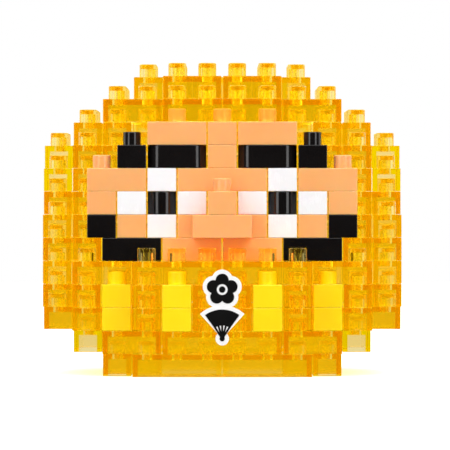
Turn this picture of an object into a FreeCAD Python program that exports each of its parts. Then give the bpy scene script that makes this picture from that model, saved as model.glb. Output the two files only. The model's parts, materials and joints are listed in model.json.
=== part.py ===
import FreeCAD, Part

import math
import os

# A daruma doll built from small clutch bricks.
#
# Frame: millimetres, +Z up, the face looks along -Y, and the origin is the middle of
# the flat base. Every brick sits on a square grid in plan and in courses in height.
# Plan positions below are in grid units; a brick end at 0 is on the middle plane.

Vector = FreeCAD.Vector

# Driving dimensions of the brick system
PITCH = 4.0            # distance between two studs
COURSE = 3.08          # height of one course
PLAN_GAP = 0.2         # space between two neighbouring bricks in plan
COURSE_GAP = 0.02      # space between a brick and the one it stands on
WALL = 0.70            # side wall of a brick
TOP_PLATE = 0.78       # roof of the socket under the studs
STUD_DIAMETER = 2.38   # the socket is 2.40 wide, so a stud is a light push fit
STUD_HEIGHT = 1.75
CORE_DIAMETER = 1.4    # each stud is cored out from below
STUD_ROOF = 0.64       # solid plastic left at the top of a stud
EDGE_ROUND = 0.10      # softened outer edges
STUD_ROUND = 0.16      # softened stud rim

# The label on the belly
LABEL_THICKNESS = 0.12
INK_THICKNESS = 0.05
LABEL_LIFT = 0.01      # adhesive film between the label and the bricks
LABEL_MARGIN = 0.55    # white border around the printed emblem

BRICK_WIDTH = PITCH - PLAN_GAP
BRICK_HEIGHT = COURSE - COURSE_GAP
SOCKET_WIDTH = BRICK_WIDTH - 2 * WALL
SOCKET_DEPTH = BRICK_HEIGHT - TOP_PLATE
CORE_TOP = BRICK_HEIGHT + STUD_HEIGHT - STUD_ROOF

FRONT = -1             # sign of y at the face
BACK = 1


# ---------------------------------------------------------------- brick shapes

def centred_box(length, width, bottom, top):
    """A box centred on the Z axis, from bottom to top."""
    corner = Vector(-length / 2, -width / 2, bottom)
    return Part.makeBox(length, width, top - bottom, corner)


def centred_stadium(length, width, bottom, top):
    """A bar with two half-round ends, centred on the Z axis."""
    end_x = (length - width) / 2
    height = top - bottom
    body = Part.makeBox(2 * end_x, width, height, Vector(-end_x, -width / 2, bottom))
    for x in (-end_x, end_x):
        body = body.fuse(Part.makeCylinder(width / 2, height, Vector(x, 0, bottom)))
    return body.removeSplitter()


def centred_cylinder(diameter, bottom, top, x=0.0):
    return Part.makeCylinder(diameter / 2, top - bottom, Vector(x, 0, bottom))


def stud(x):
    """A solid stud at x, rooted half way down the top plate, with a softened rim."""
    root = BRICK_HEIGHT - TOP_PLATE / 2
    peg = centred_cylinder(STUD_DIAMETER, root, BRICK_HEIGHT + STUD_HEIGHT, x)
    rim = [edge for edge in peg.Edges
           if edge.BoundBox.ZMin > BRICK_HEIGHT and edge.BoundBox.XLength > PLAN_GAP]
    return peg.makeFillet(STUD_ROUND, rim)


def finish_brick(body, socket, stud_places):
    """Soften the body, add its studs, hollow it and core the studs out from below."""
    body = body.makeFillet(EDGE_ROUND, body.Edges)
    for x in stud_places:
        body = body.fuse(stud(x))
    body = body.cut(socket)
    for x in stud_places:
        body = body.cut(centred_cylinder(CORE_DIAMETER, SOCKET_DEPTH / 2, CORE_TOP, x))
    return body


def socket_box(length):
    """The open socket under a square-ended brick of that outer length. It starts below
    the brick, so that it cuts right through the open underside."""
    return centred_box(length - 2 * WALL, SOCKET_WIDTH, -WALL, SOCKET_DEPTH)


def square_brick(units):
    """A brick one unit wide and `units` long along X, with one stud per unit."""
    length = units * PITCH - PLAN_GAP
    body = centred_box(length, BRICK_WIDTH, 0, BRICK_HEIGHT)
    studs = [(i - (units - 1) / 2) * PITCH for i in range(units)]
    return finish_brick(body, socket_box(length), studs)


def shift_brick():
    """A two-unit brick with a single stud in its middle, which shifts by half a unit."""
    length = 2 * PITCH - PLAN_GAP
    body = centred_box(length, BRICK_WIDTH, 0, BRICK_HEIGHT)
    return finish_brick(body, socket_box(length), [0.0])


def round_ended_brick():
    """A two-unit brick with half-round ends, used as an eyebrow."""
    length = 2 * PITCH - PLAN_GAP
    body = centred_stadium(length, BRICK_WIDTH, 0, BRICK_HEIGHT)
    socket = centred_stadium(length - 2 * WALL, SOCKET_WIDTH, -WALL, SOCKET_DEPTH)
    return finish_brick(body, socket, [-PITCH / 2, PITCH / 2])


def round_brick():
    """A one-unit round brick, used as a pupil."""
    body = centred_cylinder(BRICK_WIDTH, 0, BRICK_HEIGHT)
    socket = centred_cylinder(SOCKET_WIDTH, -WALL, SOCKET_DEPTH)
    return finish_brick(body, socket, [0.0])


SHAPES = {units: square_brick(units) for units in (1, 2, 3, 4, 6)}
SHAPES["shift"] = shift_brick()
SHAPES["round_ended"] = round_ended_brick()
SHAPES["round"] = round_brick()


# ------------------------------------------------------------ placing of bricks

nodes = {}             # node name -> list of placed solids


def place(node, shape, course, x, y, turned=False):
    """Put one brick in a node: x and y are its centre in units, course 1 is the lowest."""
    solid = SHAPES[shape].copy()
    if turned:
        solid.rotate(Vector(0, 0, 0), Vector(0, 0, 1), 90)
    solid.translate(Vector(x * PITCH, y * PITCH, (course - 1) * COURSE))
    nodes.setdefault(node, []).append(solid)


def place_pair(node, shape, course, x, y, turned=False):
    """The same brick on the right and on the left of the middle plane."""
    for side in (1, -1):
        place(node, shape, course, side * x, y, turned)


def mirrored_spans(start, end):
    """The span on both sides of the middle, or once if it crosses the middle."""
    if start < 0:
        return [(start, end)]
    return [(start, end), (-end, -start)]


def along_x(row, start, end, ends=(FRONT, BACK)):
    """Bricks that lie along X from start to end, in the row whose inner edge is at |y| = row."""
    return [(end_x - start_x, (start_x + end_x) / 2, end_sign * (row + 0.5), False)
            for start_x, end_x in mirrored_spans(start, end)
            for end_sign in ends]


def along_y(column, start, end, ends=(FRONT, BACK)):
    """Bricks that lie along Y from start to end, in the column whose inner edge is at |x| = column."""
    spans = mirrored_spans(start, end)
    if len(spans) == 2:
        spans = [(start * sign, end * sign) for sign in ends]
    return [(abs(end_y - start_y), side * (column + 0.5), (start_y + end_y) / 2, True)
            for start_y, end_y in spans
            for side in (1, -1)]


# ------------------------------------------------- clear yellow body, per course

# The outer part of these columns is one unit wide and stands on bricks laid across it.
TIED_SIDE = [along_x(0, 4, 6), along_x(1, 4, 6), along_y(4, 2, 4)]
# An inner front or back wall, with its joints at 1 and 3 units or at 2 units.
WALL_JOINTS_AT_1 = [along_x(3, -1, 1), along_x(3, 1, 3)]
WALL_JOINTS_AT_2 = [along_x(3, -2, 2), along_x(3, 2, 5)]
# The same wall around an outer column that ends one unit short at the back, where bricks
# laid across both side columns close the long joint between them.
LAPPED_SIDE = [along_x(3, -2, 2), along_x(3, 2, 5, [FRONT]), along_x(3, 2, 4, [BACK]),
               along_x(3, 4, 6, [BACK]), along_y(5, 0, 4, [FRONT]), along_y(5, 0, 3, [BACK])]
# A back wall of bricks laid front to back, which ties its rows together.
TIED_BACK = [along_y(column, 4, 6, [BACK]) for column in (0, 1, 2)]
TIED_BACK += [along_y(3, 3, 5, [BACK]), along_x(3, 3, 4, [FRONT])]

BODY = {
    1: [along_x(4, -3, 3), along_x(3, -3, 3), along_x(2, 0, 3), along_y(3, 2, 4),
        along_x(1, 2, 4), along_x(0, 2, 4)],
    2: [along_x(5, -2, 2), along_x(4, -2, 2), along_x(4, 2, 4), along_x(3, -2, 2),
        along_x(3, 2, 4), along_x(2, 2, 4), along_x(1, 2, 4), along_x(0, 2, 4),
        along_y(4, -3, 3)],
    3: [along_x(5, -1, 1), along_x(4, -1, 1), along_y(2, 4, 6), along_y(4, 3, 5),
        along_x(3, 0, 3), along_x(2, 3, 6), along_x(1, 3, 6), along_x(0, 3, 6),
        along_y(1, 4, 6, [BACK]), along_y(3, 3, 5, [BACK])],
    4: [along_x(5, -1, 1), along_x(4, -1, 1), along_y(2, 4, 6), along_x(4, 4, 5),
        along_y(5, 2, 4), along_y(1, 4, 6, [BACK]), along_y(3, 3, 5, [BACK])]
    + WALL_JOINTS_AT_1 + TIED_SIDE,
    5: [along_x(5, 0, 3), along_x(4, 0, 3), along_x(4, 3, 5), along_y(4, 0, 3)]
    + LAPPED_SIDE,
    6: [along_y(5, 2, 4), along_x(4, 4, 5, [BACK])]
    + WALL_JOINTS_AT_1 + TIED_SIDE + TIED_BACK,
    7: [along_y(4, 0, 3), along_x(5, 0, 3, [BACK]), along_x(4, -2, 2, [BACK]),
        along_x(4, 2, 5, [BACK])] + LAPPED_SIDE,
    8: [along_y(5, 2, 3)] + WALL_JOINTS_AT_1 + TIED_SIDE + TIED_BACK,
    9: [along_y(5, -3, 3), along_y(4, 0, 3), along_x(4, 0, 4, [BACK]),
        along_x(5, -2, 2, [BACK])] + WALL_JOINTS_AT_2,
    10: [along_y(5, -2, 2), along_y(4, 2, 4), along_y(3, 2, 4), along_x(1, 3, 5),
         along_y(4, -1, 1), along_y(3, -1, 1), along_x(3, 0, 3, [FRONT]),
         along_y(0, 3, 5, [BACK]), along_y(1, 3, 5, [BACK]), along_y(2, 3, 5, [BACK])],
    11: [along_y(4, 1, 3), along_y(3, 1, 4), along_x(0, 3, 5), along_x(4, -2, 2, [BACK])]
    + WALL_JOINTS_AT_1,
    12: [along_x(4, -2, 2), along_x(3, -2, 2), along_x(3, 2, 4),
         along_x(2, 0, 4), along_x(1, 0, 4), along_x(0, 0, 4)],
    13: [along_x(3, 0, 2), along_x(2, 0, 2), along_x(1, -3, 3), along_y(2, -1, 1),
         along_y(1, -1, 1), along_y(0, -1, 1)],
}


def build_body():
    for course, groups in BODY.items():
        for group in groups:
            for units, x, y, turned in group:
                place(f"course_{course:02d}_bricks_1x{units}", units, course, x, y, turned)


# ------------------------------------------------------------------------- face

FACE_Y = -4.5          # row of the face wall
NOSE_Y = -5.5          # row in front of it


def build_face():
    # Course 6: chin and moustache, on the collar's studs
    place_pair("chin_bricks", "shift", 6, 1, FACE_Y)
    place_pair("moustache_bricks", "shift", 6, 3, FACE_Y)
    # Course 7
    place("lip_brick", 3, 7, 0, FACE_Y)
    place_pair("lower_eye_whites", 1, 7, 2, FACE_Y)
    place_pair("lower_cheek_bricks", 1, 7, 3, FACE_Y)
    place_pair("moustache_tips", 1, 7, 4, FACE_Y)
    place("nostril_brick", "shift", 7, 0, NOSE_Y)
    # Course 8: the nose bridge runs back into the face wall and carries the nostrils
    place("nose_bridge_brick", 2, 8, 0, (FACE_Y + NOSE_Y) / 2, turned=True)
    place_pair("inner_eye_whites", 1, 8, 1, FACE_Y)
    place_pair("pupils", "round", 8, 2, FACE_Y)
    place_pair("outer_eye_whites", 1, 8, 3, FACE_Y)
    place_pair("cheek_bricks", 1, 8, 4, FACE_Y)
    # Course 9
    place("brow_ridge_brick", 3, 9, 0, FACE_Y)
    place_pair("upper_eye_whites", 1, 9, 2, FACE_Y)
    place_pair("upper_cheek_bricks", 2, 9, 3.5, FACE_Y)
    # Course 10
    place("brow_bridge_brick", 1, 10, 0, FACE_Y)
    place_pair("eyebrows", "round_ended", 10, 1.5, FACE_Y)
    place_pair("eyebrow_tips", 1, 10, 3, FACE_Y)
    # Course 11
    place("forehead_centre_brick", 1, 11, 0, FACE_Y)
    place_pair("forehead_side_bricks", "shift", 11, 1.5, FACE_Y)


def build_stripes():
    """Four solid yellow stripes on the belly, each two courses high and two units deep."""
    for course in (3, 4):
        place_pair("inner_stripe_bricks", 2, course, 1.5, -5, turned=True)
        place_pair("outer_stripe_bricks", 2, course, 3.5, -4, turned=True)


# ------------------------------------------------------------------------ label

LABEL_MIDDLE_Z = 9.35          # middle of the label above the base
BLOSSOM_RISE = 2.35            # blossom centre above the label's middle
PETALS = 5
PETAL_RADIUS = 0.86
PETAL_CIRCLE_RADIUS = 1.22     # petal centres stand on this circle
EYE_GAP_RADIUS = 0.72          # white ring around the blossom's eye
EYE_RADIUS = 0.42
FAN_DROP = 4.13                # fan pivot below the label's middle
FAN_OUTER_RADIUS = 3.85
FAN_INNER_RADIUS = 1.75
FAN_HALF_ANGLE = 36
FAN_BORDER_ANGLE = 6           # the label spreads this much wider than the fan, each side
FAN_WEDGE_REACH = 3            # the wedge that trims the leaf is this many radii long
FAN_RIBS = 5
RIB_SPREAD = 0.9               # share of the fan's half angle at the outermost rib
RIB_WIDTH = 0.26
RIB_OVERLAP = 0.2              # how far a rib runs into the leaf
PIVOT_RADIUS = 0.34

LABEL_BACK_Y = -6 * PITCH + PLAN_GAP / 2 - LABEL_LIFT
LABEL_FACE_Y = LABEL_BACK_Y - LABEL_THICKNESS
BLOSSOM_Z = LABEL_MIDDLE_Z + BLOSSOM_RISE
PIVOT_Z = LABEL_MIDDLE_Z - FAN_DROP


def disc(radius, x, z, back_y, thickness):
    """A disc that faces -Y, with its back at back_y."""
    return Part.makeCylinder(radius, thickness, Vector(x, back_y, z), Vector(0, -1, 0))


def fan_leaf(inner, outer, half_angle, back_y, thickness):
    """A ring sector that opens upwards from the fan's pivot."""
    leaf = disc(outer, 0, PIVOT_Z, back_y, thickness)
    if inner > 0:
        leaf = leaf.cut(disc(inner, 0, PIVOT_Z, back_y, thickness))
    reach = FAN_WEDGE_REACH * outer
    spread = math.radians(half_angle)
    left = Vector(-reach * math.sin(spread), back_y, PIVOT_Z + reach * math.cos(spread))
    right = Vector(-left.x, back_y, left.z)
    pivot = Vector(0, back_y, PIVOT_Z)
    wedge = Part.Face(Part.makePolygon([pivot, left, right, pivot]))
    return leaf.common(wedge.extrude(Vector(0, -thickness, 0)))


def blossom(grow, back_y, thickness):
    """Five overlapping petals; grow widens each one, for the label's white border."""
    petals = []
    for i in range(PETALS):
        angle = math.radians(90 + i * 360 / PETALS)
        x = PETAL_CIRCLE_RADIUS * math.cos(angle)
        z = BLOSSOM_Z + PETAL_CIRCLE_RADIUS * math.sin(angle)
        petals.append(disc(PETAL_RADIUS + grow, x, z, back_y, thickness))
    flower = petals[0].multiFuse(petals[1:])
    if grow > 0:
        return flower.fuse(disc(PETAL_CIRCLE_RADIUS, 0, BLOSSOM_Z, back_y, thickness))
    return flower.cut(disc(EYE_GAP_RADIUS, 0, BLOSSOM_Z, back_y, thickness))


def build_label():
    """A white label cut around a printed blossom and a printed folding fan."""
    border_fan = fan_leaf(0, FAN_OUTER_RADIUS + LABEL_MARGIN,
                          FAN_HALF_ANGLE + FAN_BORDER_ANGLE,
                          LABEL_BACK_Y, LABEL_THICKNESS)
    foot = disc(PIVOT_RADIUS + LABEL_MARGIN, 0, PIVOT_Z, LABEL_BACK_Y, LABEL_THICKNESS)
    backing = blossom(LABEL_MARGIN, LABEL_BACK_Y, LABEL_THICKNESS).fuse([border_fan, foot])
    nodes["label_backing"] = backing.removeSplitter().Solids

    eye = disc(EYE_RADIUS, 0, BLOSSOM_Z, LABEL_FACE_Y, INK_THICKNESS)
    petals = blossom(0, LABEL_FACE_Y, INK_THICKNESS).removeSplitter()
    nodes["label_blossom_print"] = petals.Solids + [eye]

    fan = fan_leaf(FAN_INNER_RADIUS, FAN_OUTER_RADIUS, FAN_HALF_ANGLE,
                   LABEL_FACE_Y, INK_THICKNESS)
    fan = fan.fuse(disc(PIVOT_RADIUS, 0, PIVOT_Z, LABEL_FACE_Y, INK_THICKNESS))
    rib_length = FAN_INNER_RADIUS + RIB_OVERLAP
    rib_corner = Vector(-RIB_WIDTH / 2, LABEL_FACE_Y - INK_THICKNESS, PIVOT_Z)
    for i in range(FAN_RIBS):
        rib = Part.makeBox(RIB_WIDTH, INK_THICKNESS, rib_length, rib_corner)
        side = 2 * i / (FAN_RIBS - 1) - 1
        turn = FAN_HALF_ANGLE * RIB_SPREAD * side
        rib.rotate(Vector(0, 0, PIVOT_Z), Vector(0, 1, 0), turn)
        fan = fan.fuse(rib)
    nodes["label_fan_print"] = fan.removeSplitter().Solids


# ----------------------------------------------------------------------- export

build_body()
build_face()
build_stripes()
build_label()

os.makedirs("parts", exist_ok=True)
for name, solids in sorted(nodes.items()):
    shape = solids[0] if len(solids) == 1 else Part.makeCompound(solids)
    shape.exportStep(os.path.join("parts", name + ".step"))
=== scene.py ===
import json
import math

import bpy
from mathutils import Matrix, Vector


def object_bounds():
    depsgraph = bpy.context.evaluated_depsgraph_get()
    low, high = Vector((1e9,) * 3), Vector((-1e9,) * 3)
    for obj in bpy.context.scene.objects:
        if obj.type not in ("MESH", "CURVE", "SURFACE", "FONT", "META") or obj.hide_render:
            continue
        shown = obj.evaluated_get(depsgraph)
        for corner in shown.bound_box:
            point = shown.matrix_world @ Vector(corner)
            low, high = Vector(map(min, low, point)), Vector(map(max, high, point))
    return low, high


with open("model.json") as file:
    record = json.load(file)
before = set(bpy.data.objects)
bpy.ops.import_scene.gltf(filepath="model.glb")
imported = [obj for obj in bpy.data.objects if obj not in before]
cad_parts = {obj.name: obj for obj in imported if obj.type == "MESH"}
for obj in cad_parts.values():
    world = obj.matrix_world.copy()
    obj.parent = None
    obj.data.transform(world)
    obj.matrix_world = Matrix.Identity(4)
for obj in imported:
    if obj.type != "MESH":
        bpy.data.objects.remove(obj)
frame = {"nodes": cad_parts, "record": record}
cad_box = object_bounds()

# The doll is 48 mm across. Lengths are in metres and angles in degrees, unless a line says.
# Every brick is a CAD node that keeps its shape; this script gives each plastic its look.

MM = 0.001

# Camera: a long lens, almost level with the middle of the face
CAMERA_DISTANCE = 0.722        # from the doll's middle, along -Y
CAMERA_HEIGHT = 0.0247
CAMERA_LENS = 424.0            # mm
CAMERA_SHIFT_X = 0.0062        # both shifts are in widths of the picture
CAMERA_SHIFT_Y = -0.076

# Clear yellow plastic. A surface passes the root of its tint. The tints and distances are
# fitted to the doll's look from the front; they aren't measured properties of the plastic.
SKIN_TINT = (1.0, 0.92, 0.34)         # taken once, where the light first goes in
SKIN_TINT_PALE = (1.0, 0.95, 0.44)
DEEP_TINT = (1.0, 0.44, 0.5)          # the most that one stretch of plastic takes
DYE_REACH = 0.9                       # mm of plastic that takes about two thirds of that
DYE_FADE = 8.0                        # surfaces crossed before that falls to about a third
LOSS_PER_MM = (0.002, 0.003, 0.55)    # ordinary absorption, for all of the way
MIRROR_TINT = (1.0, 0.75, 0.06)       # of what the clear plastic reflects

CLEAR_IOR = 1.49
SOLID_IOR = 1.52
CLEAR_ROUGHNESS = (0.03, 0.07)

# How deep the mould's marks go
CLEAR_WAVE = 0.004 * MM
SOLID_WAVE = 0.012 * MM
SOLID_GRAIN = 0.0006 * MM
LABEL_GRAIN = 0.002 * MM

# How fine the marks are, in noise cells to a metre
MOULD_WAVES = 260.0
MOULD_GRAIN = 5200.0
FLOW_LINES = 240.0
SMEARS = 420.0
SCRATCHES = 9000.0
SOLID_TONES = 180.0
LABEL_TONES = 900.0
LABEL_TOOTH = 12000.0
PAPER_TONES = 30.0

SCRATCH_SHARE = 0.35           # of scratches beside smears in the gloss
SCRATCH_STRETCH = (1.0, 1.0, 0.06)
FLOW_STRETCH = (1.0, 1.0, 0.35)

# The studio has its own brightness for each kind of light path, which no real room has
FLOOR_RADIUS = 0.7
FLOOR_TO_DOLL = 0.38              # how much light the floor gives back to solid bricks
FLOOR_GLOW = 0.85                 # brightness of the floor seen through the doll
TENT = 1.00                       # brightness of the white sweep seen through the doll
TENT_FRONT = 0.6                  # the same, on the camera's side of the studio
TENT_EDGE = (-0.9, 0.1)           # from where to where, along Y, one turns into the other
DARK_SIDE = 0.04                  # the camera's side, mirrored in the doll or lighting it
SWEEP_MIRRORED = 1.4              # the sweep, mirrored in the bricks' outsides
SWEEP_LIGHT = 1.9                 # the sweep, as a lamp for solid bricks
SWEEP_EDGE = (-0.2, 0.25)         # from where to where the dark side turns into the sweep
LAMP_DISTANCE = 1.0

SMOOTH_ANGLE = math.radians(32)   # mesh facets that meet at less than this shade as one curve


# ------------------------------------------------------------- node tree helpers

class Nodes:
    """A small wrapper that adds nodes to one material or world and links them."""

    def __init__(self, owner):
        owner.use_nodes = True
        self.tree = owner.node_tree
        self.tree.nodes.clear()

    def add(self, kind, inputs=None, **settings):
        node = self.tree.nodes.new(kind)
        for name, value in settings.items():
            setattr(node, name, value)
        for key, value in (inputs or {}).items():
            self.put(value, node.inputs[key])
        return node

    def put(self, value, socket):
        if isinstance(value, bpy.types.NodeSocket):
            self.tree.links.new(value, socket)
        else:
            socket.default_value = value

    def math(self, operation, *values, clamp=False):
        node = self.add("ShaderNodeMath", operation=operation, use_clamp=clamp)
        for value, socket in zip(values, node.inputs):
            self.put(value, socket)
        return node.outputs[0]

    def ramp(self, value, low, high, start=0.0, end=1.0):
        """value from start..end, spread over low..high."""
        node = self.add("ShaderNodeMapRange")
        for key, item in zip(("Value", "From Min", "From Max", "To Min", "To Max"),
                             (value, start, end, low, high)):
            self.put(item, node.inputs[key])
        return node.outputs["Result"]

    def mix_colour(self, factor, first, second):
        node = self.add("ShaderNodeMix", data_type="RGBA")
        self.put(factor, node.inputs["Factor"])
        self.put(first, node.inputs[6])
        self.put(second, node.inputs[7])
        return node.outputs[2]

    def noise(self, vector, per_metre, detail=2.0, roughness=0.5):
        inputs = {"Vector": vector, "Scale": per_metre, "Detail": detail,
                  "Roughness": roughness}
        return self.add("ShaderNodeTexNoise", inputs).outputs["Fac"]

    def bump(self, height, depth, under=None):
        node = self.add("ShaderNodeBump", {"Height": height, "Distance": depth, "Strength": 1.0})
        if under is not None:
            self.put(under, node.inputs["Normal"])
        return node.outputs["Normal"]

    def link_output(self, surface, volume=None, output="ShaderNodeOutputMaterial"):
        """Link a shader, and a volume if there is one, to the tree's output."""
        end = self.add(output, {"Surface": surface})
        if volume is not None:
            self.put(volume, end.inputs["Volume"])


def rgb(red, green, blue):
    return (red, green, blue, 1.0)


WHITE = rgb(1.0, 1.0, 1.0)


def new_material(name):
    """A new material, its node tree, and the point's place on the doll."""
    material = bpy.data.materials.new(name)
    nodes = Nodes(material)
    place = nodes.add("ShaderNodeTexCoord").outputs["Object"]
    return material, nodes, place


# --------------------------------------------------------------------- materials

def mould_waves(nodes, place, depth):
    """The slow waviness that a polished steel mould leaves on plastic."""
    return nodes.bump(nodes.noise(place, MOULD_WAVES, detail=1.0), depth)


def mould_grain(nodes, place, depth, under):
    """The fine grain of a less polished mould, on top of its waviness."""
    return nodes.bump(nodes.noise(place, MOULD_GRAIN, detail=3.0), depth, under)


def stretched(nodes, place, scale):
    """The coordinates squeezed along one axis, for marks that run in one direction."""
    mapping = nodes.add("ShaderNodeMapping", {"Vector": place, "Scale": scale})
    return mapping.outputs["Vector"]


def scuffs(nodes, place, low, high):
    """Roughness that varies a little over a surface: handling marks and fine scratches."""
    smears = nodes.noise(place, SMEARS, detail=4.0, roughness=0.6)
    scratches = nodes.noise(stretched(nodes, place, SCRATCH_STRETCH), SCRATCHES, detail=1.0)
    both = nodes.math("MULTIPLY_ADD", scratches, SCRATCH_SHARE, smears)
    return nodes.ramp(both, low, high, 0.45, 0.95)


def solid_plastic(name, dark, light, rough, soft=0.1, reach=1.2):
    """Opaque moulded plastic: two close tones, a satin shine and a little light inside,
    which spreads for about `reach` millimetres."""
    material, nodes, place = new_material(name)
    tone = nodes.noise(place, SOLID_TONES, detail=3.0)
    colour = nodes.mix_colour(nodes.ramp(tone, 0.0, 1.0, 0.3, 0.7), rgb(*dark), rgb(*light))
    shader = nodes.add("ShaderNodeBsdfPrincipled", {
        "Base Color": colour,
        "Roughness": scuffs(nodes, place, rough * 0.8, rough * 1.3),
        "IOR": SOLID_IOR,
        "Subsurface Weight": soft,
        "Subsurface Radius": (1.0, 0.35, 0.12),
        "Subsurface Scale": reach * MM,
        "Normal": mould_grain(nodes, place, SOLID_GRAIN,
                              under=mould_waves(nodes, place, SOLID_WAVE)),
    })
    nodes.link_output(shader.outputs[0])
    return material


def clear_plastic(name):
    """Clear yellow plastic. A thin wall is pale and a long way through is golden: the dye
    takes most of the blue and part of the green, and what it takes levels off. Every exit
    from the plastic is tinted by the way that the light has just come. Real dye absorbs
    evenly along the way; this law is only a fit to the look of the doll."""
    material, nodes, place = new_material(name)
    rays = nodes.add("ShaderNodeLightPath").outputs
    leaving = nodes.add("ShaderNodeNewGeometry").outputs["Backfacing"]
    walls = rays["Transmission Depth"]
    flow = nodes.noise(stretched(nodes, place, FLOW_STRETCH), FLOW_LINES, detail=2.0)

    skin = nodes.mix_colour(flow, rgb(*SKIN_TINT), rgb(*SKIN_TINT_PALE))
    first = nodes.math("SUBTRACT", 1.0, walls, clamp=True)
    entry_tint = nodes.mix_colour(first, WHITE, skin)

    unused_dye = nodes.math("POWER", math.exp(-1 / DYE_FADE), walls)
    stretches = nodes.math("MULTIPLY", rays["Ray Length"], -1 / (DYE_REACH * MM))
    way = nodes.math("EXPONENT", stretches)
    taken = nodes.math("MULTIPLY", nodes.math("SUBTRACT", 1.0, way), unused_dye)
    exit_tint = nodes.mix_colour(taken, WHITE, rgb(*DEEP_TINT))

    shader = nodes.add("ShaderNodeBsdfPrincipled", {
        "Base Color": nodes.mix_colour(leaving, entry_tint, exit_tint),
        "Roughness": scuffs(nodes, place, *CLEAR_ROUGHNESS),
        "IOR": CLEAR_IOR,
        "Transmission Weight": 1.0,
        "Specular Tint": rgb(*MIRROR_TINT),
        "Normal": mould_waves(nodes, place, CLEAR_WAVE),
    })
    density = max(LOSS_PER_MM) * 1.02 / MM   # over the largest, so no part of `left` is 0
    left = [1.0 - loss / MM / density for loss in LOSS_PER_MM]
    inside = nodes.add("ShaderNodeVolumeAbsorption",
                       {"Color": rgb(*left), "Density": density})
    nodes.link_output(shader.outputs[0], inside.outputs[0])
    return material


def vinyl_label(name, colour, rough, shine=0.5):
    """A thin printed film with the faint tooth of vinyl."""
    material, nodes, place = new_material(name)
    tone = nodes.noise(place, LABEL_TONES, detail=3.0)
    darker = [part * 0.94 for part in colour]
    tooth = nodes.noise(place, LABEL_TOOTH, detail=2.0)
    shader = nodes.add("ShaderNodeBsdfPrincipled", {
        "Base Color": nodes.mix_colour(tone, rgb(*darker), rgb(*colour)),
        "Roughness": nodes.ramp(tone, rough * 0.85, rough * 1.15),
        "Specular IOR Level": shine,
        "Normal": nodes.bump(tooth, LABEL_GRAIN),
    })
    nodes.link_output(shader.outputs[0])
    return material


MATERIALS = {
    "clear_yellow": clear_plastic("clear_yellow_plastic"),
    "solid_yellow": solid_plastic("solid_yellow_plastic", (0.96, 0.70, 0.003),
                                  (1.0, 0.76, 0.006), rough=0.22),
    "peach": solid_plastic("peach_plastic", (1.0, 0.42, 0.15), (1.0, 0.45, 0.17),
                           rough=0.16, soft=0.5, reach=1.5),
    "black": solid_plastic("black_plastic", (0.004, 0.003, 0.003),
                           (0.006, 0.005, 0.005), rough=0.12, soft=0.0),
    "white": solid_plastic("white_plastic", (0.86, 0.85, 0.87), (0.90, 0.89, 0.91),
                           rough=0.24),
    "label": vinyl_label("label_vinyl", (0.93, 0.93, 0.93), rough=0.45),
    "label_ink": vinyl_label("label_ink", (0.003, 0.003, 0.003), rough=0.5, shine=0.15),
}


def dress_cad_nodes():
    """Give each CAD node the material of its slot, and shade its curved faces smooth."""
    slots = {part["node"]: part["material_slot"] for part in frame["record"]["subparts"]}
    for name, piece in frame["nodes"].items():
        mesh = piece.data
        mesh.polygons.foreach_set("use_smooth", [True] * len(mesh.polygons))
        mesh.set_sharp_from_angle(angle=SMOOTH_ANGLE)
        if not piece.material_slots:
            mesh.materials.append(None)
        for slot in piece.material_slots:
            slot.material = MATERIALS[slots[name]]


# ----------------------------------------------------------------- studio and camera

def through_the_doll(nodes, rays):
    """1 for a ray that has crossed clear plastic, unless a solid surface has just scattered
    it; else 0."""
    crossed = nodes.math("MINIMUM", rays["Transmission Depth"], 1.0)
    return nodes.math("SUBTRACT", crossed, rays["Is Diffuse Ray"], clamp=True)


def build_floor():
    """A white light table. It glows through the clear bricks, but it doesn't mirror in the
    glossy ones, and it lights the solid bricks from below less than white paper would."""
    bpy.ops.mesh.primitive_circle_add(vertices=128, radius=FLOOR_RADIUS, fill_type="NGON",
                                      location=(0, 0, cad_box[0][2]))
    floor = bpy.context.object
    floor.name = "studio_floor"
    material, nodes, place = new_material("studio_floor_paper")
    tone = nodes.noise(place, PAPER_TONES, detail=3.0)
    paper = nodes.mix_colour(tone, rgb(0.92, 0.92, 0.91), rgb(0.95, 0.95, 0.945))
    rays = nodes.add("ShaderNodeLightPath").outputs
    dull = nodes.math("MULTIPLY", rays["Is Diffuse Ray"], FLOOR_TO_DOLL)
    white = nodes.add("ShaderNodeCombineColor", {"Red": dull, "Green": dull, "Blue": dull})
    sheet = nodes.add("ShaderNodeBsdfDiffuse", {
        "Color": nodes.mix_colour(rays["Is Camera Ray"], white.outputs[0], paper),
    })
    glow = nodes.ramp(through_the_doll(nodes, rays), 0.0, FLOOR_GLOW)
    glow = nodes.ramp(rays["Is Camera Ray"], glow, FLOOR_GLOW / 2)
    lamp = nodes.add("ShaderNodeEmission", {"Strength": glow})
    both = nodes.add("ShaderNodeAddShader")
    nodes.put(sheet.outputs[0], both.inputs[0])
    nodes.put(lamp.outputs[0], both.inputs[1])
    nodes.link_output(both.outputs[0])
    floor.data.materials.append(material)


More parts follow.
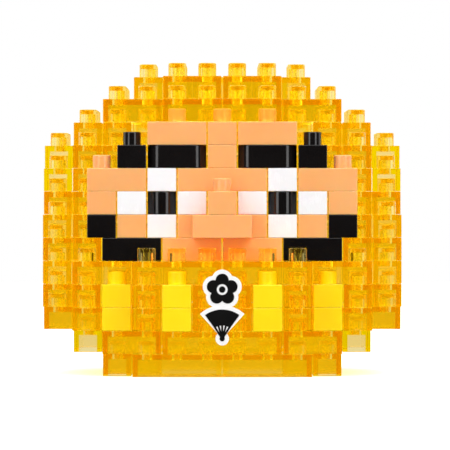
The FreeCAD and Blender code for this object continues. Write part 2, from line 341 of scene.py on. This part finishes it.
def build_world():
    """A white sweep behind the doll and a dim room on the camera's side."""
    world = bpy.data.worlds.new("studio")
    bpy.context.scene.world = world
    nodes = Nodes(world)
    direction = nodes.add("ShaderNodeTexCoord").outputs["Generated"]
    backwards = nodes.add("ShaderNodeSeparateXYZ", {"Vector": direction}).outputs["Y"]
    rays = nodes.add("ShaderNodeLightPath").outputs
    mirrored = nodes.ramp(backwards, DARK_SIDE, SWEEP_MIRRORED, *SWEEP_EDGE)
    lighting = nodes.ramp(backwards, DARK_SIDE, SWEEP_LIGHT, *SWEEP_EDGE)
    strength = nodes.ramp(rays["Is Diffuse Ray"], mirrored, lighting)
    tent = nodes.ramp(backwards, TENT_FRONT, TENT, *TENT_EDGE)
    strength = nodes.ramp(through_the_doll(nodes, rays), strength, tent)
    strength = nodes.ramp(rays["Is Camera Ray"], strength, 1.0)
    background = nodes.add("ShaderNodeBackground", {"Color": WHITE, "Strength": strength})
    nodes.link_output(background.outputs[0], output="ShaderNodeOutputWorld")


def softbox(name, azimuth, elevation, width, height, radiance):
    """A rectangular light that faces the doll. Azimuth 0 is the camera's side."""
    light = bpy.data.lights.new(name, "AREA")
    light.shape = "RECTANGLE"
    light.size = width
    light.size_y = height
    light.energy = radiance * math.pi * width * height
    lamp = bpy.data.objects.new(name, light)
    bpy.context.scene.collection.objects.link(lamp)
    turn, rise = math.radians(azimuth), math.radians(elevation)
    middle = (Vector(cad_box[0]) + Vector(cad_box[1])) / 2
    offset = Vector((math.sin(turn) * math.cos(rise), -math.cos(turn) * math.cos(rise),
                     math.sin(rise)))
    lamp.location = middle + offset * LAMP_DISTANCE
    lamp.rotation_euler = (-offset).to_track_quat("-Z", "Y").to_euler()
    lamp.visible_camera = False


def build_lights():
    for name, azimuth in (("left_softbox", -41), ("right_softbox", 41)):
        softbox(name, azimuth, elevation=23, width=0.36, height=1.0, radiance=2.9)
    softbox("top_softbox", azimuth=0, elevation=56, width=1.3, height=0.8, radiance=3.1)


def build_camera():
    data = bpy.data.cameras.new("camera")
    data.lens = CAMERA_LENS
    data.shift_x = CAMERA_SHIFT_X
    data.shift_y = CAMERA_SHIFT_Y
    data.clip_end = 20.0
    camera = bpy.data.objects.new("camera", data)
    bpy.context.scene.collection.objects.link(camera)
    camera.location = (0.0, -CAMERA_DISTANCE, CAMERA_HEIGHT)
    camera.rotation_euler = (math.radians(90), 0.0, 0.0)
    bpy.context.scene.camera = camera


def set_light_paths():
    """Light crosses dozens of brick walls, so paths have to be long."""
    cycles = bpy.context.scene.cycles
    cycles.max_bounces = 200
    cycles.transmission_bounces = 160
    cycles.glossy_bounces = 120
    cycles.diffuse_bounces = 24
    cycles.blur_glossy = 0.0
    cycles.sample_clamp_indirect = 8.0
    bpy.context.scene.view_settings.view_transform = "Standard"


dress_cad_nodes()
build_floor()
build_world()
build_lights()
build_camera()
set_light_paths()
